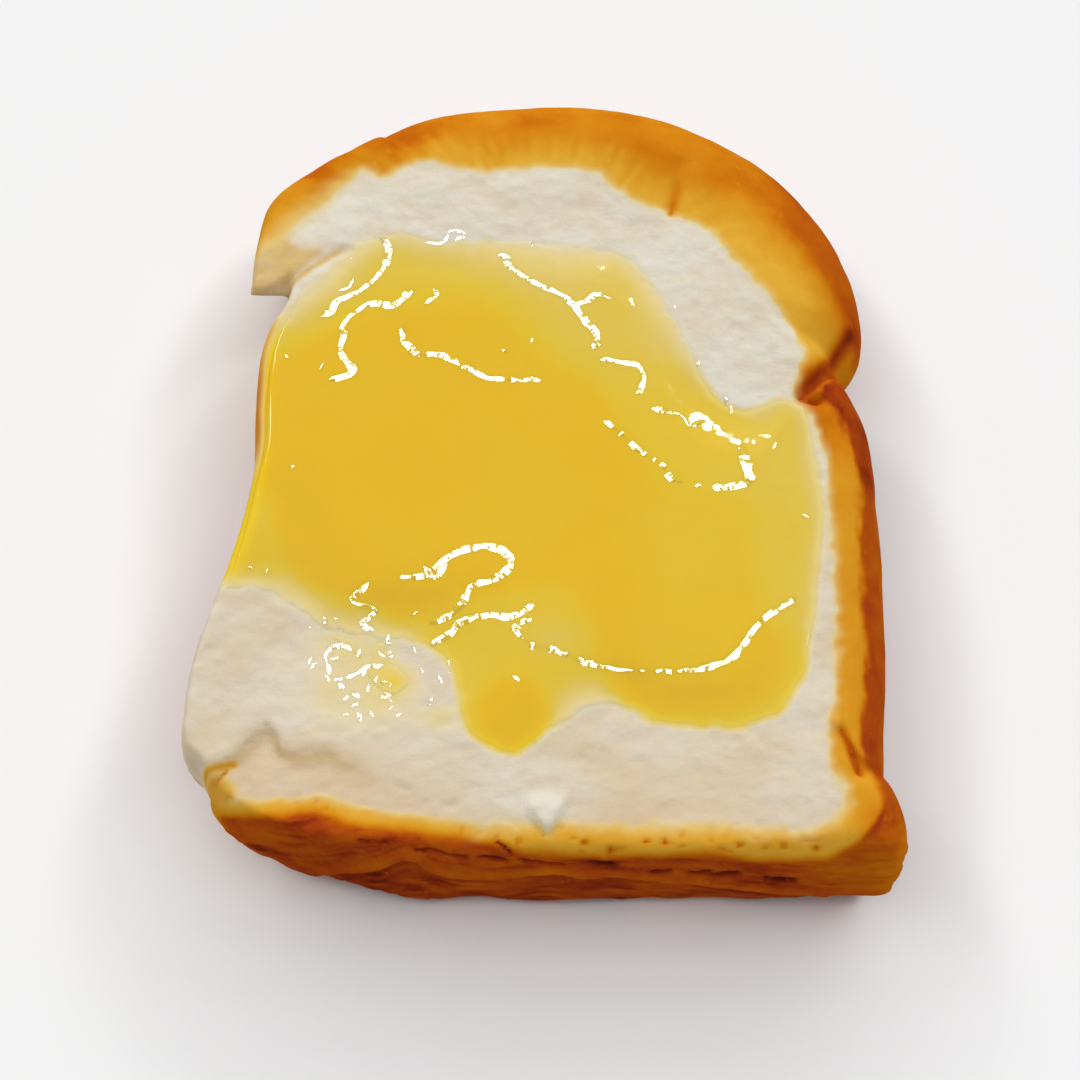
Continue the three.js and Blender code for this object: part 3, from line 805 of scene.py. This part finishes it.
def spread_depth(x, y):
    """How deep the spread's colour is, from 0 on bare crumb to 1 in the pools; also its edge depth."""
    wander = 0.6 * layered(x / 6, y / 6, 0, 41) + 0.3 * noise(x / 1.9, y / 1.9, 0, 43)
    edge = depth_inside(x, y, SPREAD) + wander
    core = depth_inside(x, y, CORE) + wander
    upper = smooth(4, 18, y)
    lower_left = smooth(-15, -28, x) * smooth(-20, -28, y)
    right_rim = smooth(28, 36, x) * smooth(-42, -30, y)
    thinner = smooth(-18, -4, x)
    upper_fade = mix(1.8, 3.8, thinner) + 2.0 * smooth(-24, -36, x) - 1.6 * smooth(3, 13, x)
    fade = 0.8 + upper * upper_fade + 2.8 * lower_left
    fade = fade + 3.2 * spot(x, y, BAY) + 0.9 * right_rim * (1 - upper)
    level = THIN_DEPTH - upper * mix(0.05, 0.1, thinner) - 0.05 * right_rim
    deep = level * (1 - np.exp(-np.maximum(edge + 0.25, 0) / fade))
    blur = 1 + 1.7 * upper
    deep = mix(deep, CORE_DEPTH - 0.07 * smooth(8, 20, x), smooth(-2.6 * blur, 1.6 * blur, core))
    deep = deep - 0.16 * spot(x, y, PALE_PLACE)
    for line, half_width, amount in DEEPER:
        deep = deep + amount * near_line(x, y, line, half_width) * smooth(0.3, 0.7, deep)
    dx, dy, reach = DRIP
    in_drip = np.hypot(x - dx, y - dy) / reach + 0.06 * wander
    deep = mix(deep, DRIP_DEPTH, smooth(1.12, 0.45, in_drip))
    sx, sy, rx, ry = SMEAR
    in_smear = np.hypot((x - sx) / (rx + 2), (y - sy) / (ry + 1)) + 0.1 * wander
    smear = SMEAR_DEPTH * smooth(1.5, 0.4, in_smear)
    for *place, amount in SMEAR_PATCHES:
        smear = smear + amount * spot(x, y, place)
    smear = np.maximum(smear, 0) * (1 + 0.4 * layered(x / 4, y / 4, 0, 45))
    return np.clip(np.maximum(deep, smear), 0, 1), edge


def crumb_height(x, y, deep):
    return top_height(x, y) + crumb_relief(x, y, np.full(np.shape(x), THICKNESS), deep)


def spread_surface(x, y):
    """The spread's height, colour depth and edge depth."""
    deep, edge = spread_depth(x, y)
    base = crumb_height(x, y, deep)
    inner = edge + 14 * smooth(0.22, 0.42, deep) * smooth(0.2, -0.4, edge)
    film = SPREAD_FILM - SPREAD_DIP * smooth(1.1, -0.3, inner)
    level = SPREAD_LEVEL + 0.1 * layered(x / 15, y / 12, 0, 61, 2)
    cover = smooth(0.6, 9, edge) * (0.55 + 0.45 * smooth(2, 16, edge))
    return mix(base + film, np.maximum(level, base + film), cover), deep, edge


def shown_height(x, y):
    """Whichever lies higher, the spread or the crumb on which it thins out."""
    height, deep, _ = spread_surface(x, y)
    return np.maximum(height, crumb_height(x, y, deep))


def rim_edges(quads):
    """The edges that only one quad uses, in that quad's direction."""
    edges = quad_edges(quads)
    key = np.sort(edges, 1)
    key = key[:, 0] * (quads.max() + 1) + key[:, 1]
    _, first, counts = np.unique(key, return_index=True, return_counts=True)
    return edges[first[counts == 1]]


def spread_sheet():
    """A sheet whose rim and underside lie in the bread: its points, quads, colour depth and gloss."""
    _, x, y = grid(SPREAD_LOW, SPREAD_HIGH, SPREAD_CELL)
    height, deep, edge = spread_surface(x, y)
    inside = depth_in_slice(x, y)
    margin = SHEET_MARGIN + 0.8 * smooth(-36, -42, x) * smooth(-10, 0, y)
    height = height - RIM_DROP * smooth(1.2, 0.2, inside - margin)
    kept = (deep > 0.02) & (inside > margin)
    cell = kept[:-1, :-1] & kept[1:, :-1] & kept[:-1, 1:] & kept[1:, 1:]
    used = np.zeros(x.shape, bool)
    for dx, dy in ((0, 0), (1, 0), (0, 1), (1, 1)):
        used[dx:x.shape[0] - 1 + dx, dy:x.shape[1] - 1 + dy] |= cell
    number = np.full(x.shape, -1)
    number[used] = np.arange(used.sum())
    quad = np.stack([number[:-1, :-1], number[1:, :-1], number[1:, 1:], number[:-1, 1:]], -1)[cell]
    count = int(used.sum())
    top = np.stack([x[used], y[used], height[used]], 1)
    bottom = np.stack([x[used], y[used], np.minimum(height, top_height(x, y))[used] - SHEET_DEPTH], 1)
    edges = rim_edges(quad)
    walls = np.stack([edges[:, 1], edges[:, 0], edges[:, 0] + count, edges[:, 1] + count], 1)
    faces = np.vstack([quad, quad[:, ::-1] + count, walls])
    gloss = smooth(0.3, 0.55, deep) * smooth(2.6, 4.6, inside) * smooth(0.8, 2.0, edge)
    return np.vstack([top, bottom]), faces, np.tile(deep[used], 2), np.tile(gloss[used], 2)


def mirror_slope(place, outward):
    """The slope that a facet facing outward needs, to mirror the ring of lamps into the camera."""
    view = CAMERA_SPOT - place
    view = (view / np.linalg.norm(view, axis=1, keepdims=True))[:, None]
    level = outward[:, None] * np.sin(RIDGE_TILTS)[None, :, None]
    rise = np.broadcast_to(np.cos(RIDGE_TILTS)[None, :, None], (len(place), len(RIDGE_TILTS), 1))
    normal = np.concatenate([level, rise], -1)
    mirrored = 2 * np.sum(normal * view, -1, keepdims=True) * normal - view
    off = np.arccos(np.clip(mirrored @ MIRRORED, -1, 1))
    return np.tan(RIDGE_TILTS[np.argmin(np.abs(off - LAMP_OFF_MIRROR), 1)])


def ridge(line, half_width, gaps, seed):
    """One closed ridge along a line: its points, side quads and end caps."""
    path = open_curve(line, RIDGE_STEP)
    along = np.gradient(path, axis=0)
    along /= np.linalg.norm(along, axis=1, keepdims=True)
    across = np.stack([-along[:, 1], along[:, 0]], 1)
    s = np.arange(len(path)) * RIDGE_STEP
    path = path + across * (0.14 * noise(s / 1.1, 0, 0, seed))[:, None]
    taper = np.clip(np.minimum(s, s[-1] - s) / 0.9 + 0.3, 0, 1) ** 0.7
    broken = 1 - smooth(0.9 - gaps, 1.2 - gaps, noise(s / 0.8, 0, 0, seed + 1))
    width = RIDGE_WIDEN * half_width * taper * (0.12 + 0.88 * broken)
    width = width * (1 + 0.25 * noise(s / 1.3, 0, 0, seed + 2))
    left, right = path - across * width[:, None], path + across * width[:, None]
    low, mid, high = (shown_height(*p.T) for p in (left, path, right))
    place = np.column_stack([path, mid])
    down, up = mirror_slope(place, -across) * width, mirror_slope(place, across) * width
    crest = np.minimum(low + down, high + up) - RIDGE_SINK
    rings = [
        np.column_stack([left, crest - down]),
        np.column_stack([path, crest]),
        np.column_stack([right, crest - up]),
        np.column_stack([mix(path, right, 0.5), np.minimum(mid, high) - RIDGE_ROOT]),
        np.column_stack([mix(path, left, 0.5), np.minimum(mid, low) - RIDGE_ROOT]),
    ]
    sides = len(rings)
    points = np.stack(rings, 1).reshape(-1, 3)
    first = np.arange(len(path) - 1)[:, None] * sides + np.arange(sides)
    after = np.arange(len(path) - 1)[:, None] * sides + (np.arange(sides) + 1) % sides
    quads = np.stack([first, first + sides, after + sides, after], -1).reshape(-1, 4)
    last = (len(path) - 1) * sides
    caps = np.array([np.arange(sides), last + np.arange(sides)[::-1]])
    return points, quads, caps


def every_ridge():
    lines = list(RIDGES)
    random = np.random.default_rng(SPECK_SEED)
    sx, sy, rx, ry = SMEAR
    specks = [(x, y, SPECK_WIDTH) for x, y in SPECKS]
    for _ in range(SMEAR_SPECKS):
        turn, reach = random.uniform(0, 2 * math.pi), math.sqrt(random.uniform())
        x, y = sx + rx * reach * math.cos(turn), sy + ry * reach * math.sin(turn)
        specks.append((x, y, SMEAR_SPECK_WIDTH))
    for x, y, half_width in specks:
        turn, half = random.uniform(0, math.pi), random.uniform(0.3, 0.8)
        dx, dy = half * math.cos(turn), half * math.sin(turn)
        lines.append(([(x - dx, y - dy), (x + dx, y + dy)], half_width, 0))
    return lines


def make_spread(shift):
    sheet, faces, deep, gloss = spread_sheet()
    points, quads, caps, start = [sheet], [], [], len(sheet)
    for number, (line, half_width, gaps) in enumerate(every_ridge()):
        p, q, c = ridge(line, half_width, gaps, RIDGE_SEED + 3 * number)
        points.append(p)
        quads.append(q + start)
        caps.append(c + start)
        start += len(p)
    ridge_points = np.vstack(points[1:])
    ridge_deep = spread_depth(ridge_points[:, 0], ridge_points[:, 1])[0]
    masks = {
        "deep": np.concatenate([deep, ridge_deep]),
        "gloss": np.concatenate([gloss, np.ones(len(ridge_deep))]),
    }
    groups = [(faces, True), (np.vstack(quads), False), (np.vstack(caps), False)]
    return make_mesh("custard", np.vstack(points), groups, shift, masks)


# ---- materials
class Shader:
    """A material's node tree, with short calls for the nodes that it needs."""

    def __init__(self, name):
        self.material = bpy.data.materials.new(name)
        self.material.use_nodes = True
        self.tree = self.material.node_tree
        self.surface = next(n for n in self.tree.nodes if n.type == "BSDF_PRINCIPLED")

    def link(self, source, target):
        if isinstance(source, (int, float, tuple)):
            target.default_value = source
        else:
            self.tree.links.new(source, target)

    def feed(self, node, sockets):
        for name, value in sockets.items():
            self.link(value, node.inputs[name.replace("_", " ")])

    def set(self, **sockets):
        self.feed(self.surface, sockets)

    def new(self, kind, **sockets):
        node = self.tree.nodes.new("ShaderNode" + kind)
        self.feed(node, sockets)
        return node

    def attribute(self, name):
        node = self.new("Attribute")
        node.attribute_name = name
        return node.outputs["Fac"]

    def coordinates(self):
        return self.new("TexCoord").outputs["Object"]

    def noise(self, vector, scale, detail=3.0, roughness=0.55, distortion=0.0):
        node = self.new("TexNoise", Vector=vector, Scale=scale, Detail=detail)
        self.feed(node, {"Roughness": roughness, "Distortion": distortion})
        return node.outputs["Fac"]

    def math(self, operation, a, b=0.0, clamp=False):
        node = self.new("Math")
        node.operation = operation
        node.use_clamp = clamp
        self.link(a, node.inputs[0])
        self.link(b, node.inputs[1])
        return node.outputs[0]

    def span(self, value, low, high, to_low=0.0, to_high=1.0):
        node = self.new("MapRange", Value=value, From_Min=low, From_Max=high, To_Min=to_low, To_Max=to_high)
        return node.outputs[0]

    def ramp(self, value, stops):
        node = self.new("ValToRGB")
        self.link(value, node.inputs[0])
        ramp = node.color_ramp
        while len(ramp.elements) < len(stops):
            ramp.elements.new(0.5)
        for element, (place, colour) in zip(ramp.elements, stops):
            element.position = place
            element.color = (*colour, 1)
        return node.outputs["Color"]

    def blend(self, a, b, share):
        node = self.new("Mix")
        node.data_type = "RGBA"
        self.link(share, node.inputs["Factor"])
        for value, socket in ((a, node.inputs[6]), (b, node.inputs[7])):
            self.link((*value, 1) if isinstance(value, tuple) else value, socket)
        return node.outputs[2]

    def bump(self, height, strength, distance, before=None):
        node = self.new("Bump", Height=height, Strength=strength, Distance=distance)
        if before is not None:
            self.link(before, node.inputs["Normal"])
        return node.outputs[0]


CRUMB_PALE = (0.74, 0.70, 0.585)
CRUMB_WARM = (0.675, 0.52, 0.35)
# The colour of the painted shadow under the tear lip and in the left seam, and of the left lobe's tanned
# crumb.
CRUMB_SHADOW_AND_TAN = (0.66, 0.44, 0.14)
# Where crumb turns to crust.
FRINGE = (0.76, 0.565, 0.20)
CUSTARD_STOPS = [
    (0.0, (0.73, 0.68, 0.55)),
    (0.15, (0.75, 0.64, 0.42)),
    (0.3, (0.76, 0.62, 0.28)),
    (0.45, (0.78, 0.60, 0.165)),
    (0.6, (0.80, 0.575, 0.06)),
    (0.75, (0.83, 0.56, 0.014)),
    (0.88, (0.85, 0.515, 0.003)),
    (1.0, (0.79, 0.49, 0.001)),
]
CRUST_STOPS = [
    (0.0, (0.74, 0.405, 0.04)),
    (0.25, (0.69, 0.315, 0.018)),
    (0.5, (0.61, 0.203, 0.006)),
    (0.65, (0.52, 0.122, 0.004)),
    (0.8, (0.42, 0.065, 0.006)),
    (0.9, (0.27, 0.031, 0.006)),
    (1.0, (0.085, 0.011, 0.004)),
]


def bread_material():
    s = Shader("bread")
    place = s.coordinates()
    crust, soak = s.attribute("crust"), s.attribute("soak")
    stretched = s.new("VectorMath")
    stretched.operation = "MULTIPLY"
    s.link(place, stretched.inputs[0])
    stretched.inputs[1].default_value = (0.55, 1, 1)
    strands = s.noise(stretched.outputs[0], 420.0, 4.0, 0.62, 0.4)
    mottle = s.noise(place, 210.0, 5.0, 0.62)
    cloud = s.noise(stretched.outputs[0], 110.0, 3.0, 0.5)
    fine = s.noise(place, 1500.0, 3.0, 0.6)
    warmth = s.math("ADD", s.attribute("warm"), s.span(cloud, 0.3, 0.7, -0.28, 0.28), clamp=True)
    crumb = s.blend(CRUMB_PALE, CRUMB_WARM, warmth)
    # Painted shadow and tanned crumb, by the shade mask.
    crumb = s.blend(crumb, CRUMB_SHADOW_AND_TAN, s.attribute("shade"))
    grain = s.math("ADD", s.math("MULTIPLY", strands, 0.5), s.math("MULTIPLY", mottle, 0.5))
    crumb = s.blend(crumb, CRUMB_WARM, s.span(grain, 0.54, 0.36, 0.0, 0.45))
    crumb = s.blend(crumb, s.ramp(soak, CUSTARD_STOPS), s.span(soak, 0.0, 0.15))
    blotch = s.noise(place, 110.0, 4.0, 0.6)
    # Painted glints: small lighter specks on the crust, which has no gloss of its own.
    painted_glints = s.noise(place, 600.0, 2.0, 0.5)
    tone = s.math("ADD", s.attribute("tone"), s.span(blotch, 0.3, 0.7, -0.09, 0.09))
    tone = s.math("SUBTRACT", tone, s.span(painted_glints, 0.66, 0.8, 0.0, 0.12), clamp=True)
    colour = s.blend(crumb, FRINGE, s.span(crust, 0.0, 0.5))
    colour = s.blend(colour, s.ramp(tone, CRUST_STOPS), s.span(crust, 0.3, 1.0))
    dry = s.math("SUBTRACT", 1.0, s.span(soak, 0.2, 0.6))
    soft = s.math("MULTIPLY", s.math("SUBTRACT", 1.0, crust), dry)
    normal = s.bump(strands, s.math("MULTIPLY", soft, 0.45), 0.0004)
    normal = s.bump(fine, s.math("MULTIPLY", soft, 0.3), 0.0002, normal)
    normal = s.bump(s.noise(place, 520.0, 4.0, 0.6), s.math("MULTIPLY", crust, 0.4), 0.0002, normal)
    s.set(Base_Color=colour, Roughness=s.span(crust, 0.0, 1.0, 0.9, 0.5), Normal=normal)
    s.set(Specular_IOR_Level=0.0)
    s.set(Subsurface_Weight=0.25, Subsurface_Radius=(1.0, 0.6, 0.3), Subsurface_Scale=0.0014)
    return s.material


def custard_material():
    s = Shader("custard")
    place = s.coordinates()
    cloud = s.noise(place, 45.0, 3.0, 0.5)
    shade = s.math("ADD", s.attribute("deep"), s.span(cloud, 0.3, 0.7, -0.04, 0.04), clamp=True)
    film = s.noise(place, 120.0, 3.0, 0.5)
    s.set(Base_Color=s.ramp(shade, CUSTARD_STOPS), Roughness=s.span(film, 0.3, 0.7, 0.42, 0.5))
    s.set(Specular_IOR_Level=0.1)
    s.set(Coat_Weight=s.attribute("gloss"), Coat_Roughness=0.05, Coat_IOR=2.05)
    s.set(Subsurface_Weight=0.15, Subsurface_Radius=(1.0, 0.7, 0.2), Subsurface_Scale=0.0015)
    return s.material


# ---- the pieces on the frame
def frame_shift():
    """What moves the outlines, in mm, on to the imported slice."""
    low, high = (np.array(c) * 1000 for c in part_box("milk_bread"))
    every = np.vstack([outline for outline, _ in LOBES])
    middle = (every.min(0) + every.max(0)) / 2
    return np.array([*((low + high)[:2] / 2 - middle), 0.0])


shift = frame_shift()
bread = make_bread(shift)
join_flat_base(bread.data)
bread.data.materials.append(bread_material())
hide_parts("milk_bread")
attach(bread, "root")

custard = make_spread(shift)
custard.data.materials.append(custard_material())
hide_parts("custard_spread")
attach(custard, "root")


# ---- floor, light and camera
def make_floor():
    mesh = bpy.data.meshes.new("floor")
    sides = ((-1, -1), (1, -1), (1, 1), (-1, 1))
    mesh.from_pydata([(x * FLOOR_HALF, y * FLOOR_HALF, 0) for x, y in sides], [], [(0, 1, 2, 3)])
    floor = add_object("floor", mesh)
    s = Shader("floor")
    s.set(Base_Color=(FLOOR_GREY, FLOOR_GREY, FLOOR_GREY, 1), Roughness=0.9, Specular_IOR_Level=0.1)
    floor.data.materials.append(s.material)


def make_camera():
    data = bpy.data.cameras.new("camera")
    data.sensor_width = SENSOR_MM
    data.lens = FOCAL_PIXELS / PICTURE_PIXELS * SENSOR_MM
    data.clip_start = 0.01
    camera = add_object("camera", data)
    camera.location = Vector((CAMERA_SPOT + shift) * MM)
    camera.rotation_euler = (math.radians(90) - CAMERA_PITCH, 0, 0)
    bpy.context.scene.camera = camera


def make_lamp(name, direction):
    data = bpy.data.lights.new(name, "SUN")
    data.energy = LAMP_STRENGTH
    data.angle = LAMP_SPREAD
    lamp = add_object(name, data)
    lamp.rotation_euler = direction.to_track_quat("Z", "Y").to_euler()


def make_lights():
    """Soft lamps in a ring round the direction that level spread mirrors."""
    mirrored = Vector(MIRRORED)
    rightward = Vector((1, 0, 0))
    nearer = rightward.cross(mirrored)
    for number in range(LAMPS):
        turn = 2 * math.pi * number / LAMPS
        aside = rightward * math.sin(turn) + nearer * math.cos(turn)
        direction = mirrored * math.cos(LAMP_OFF_MIRROR) + aside * math.sin(LAMP_OFF_MIRROR)
        make_lamp(f"lamp_{number}", direction)
    world = bpy.data.worlds.new("studio")
    world.use_nodes = True
    background = world.node_tree.nodes["Background"]
    background.inputs["Color"].default_value = (1, 1, 1, 1)
    background.inputs["Strength"].default_value = SKY_STRENGTH
    bpy.context.scene.world = world


make_floor()
make_camera()
make_lights()
bpy.context.scene.view_settings.view_transform = "Standard"
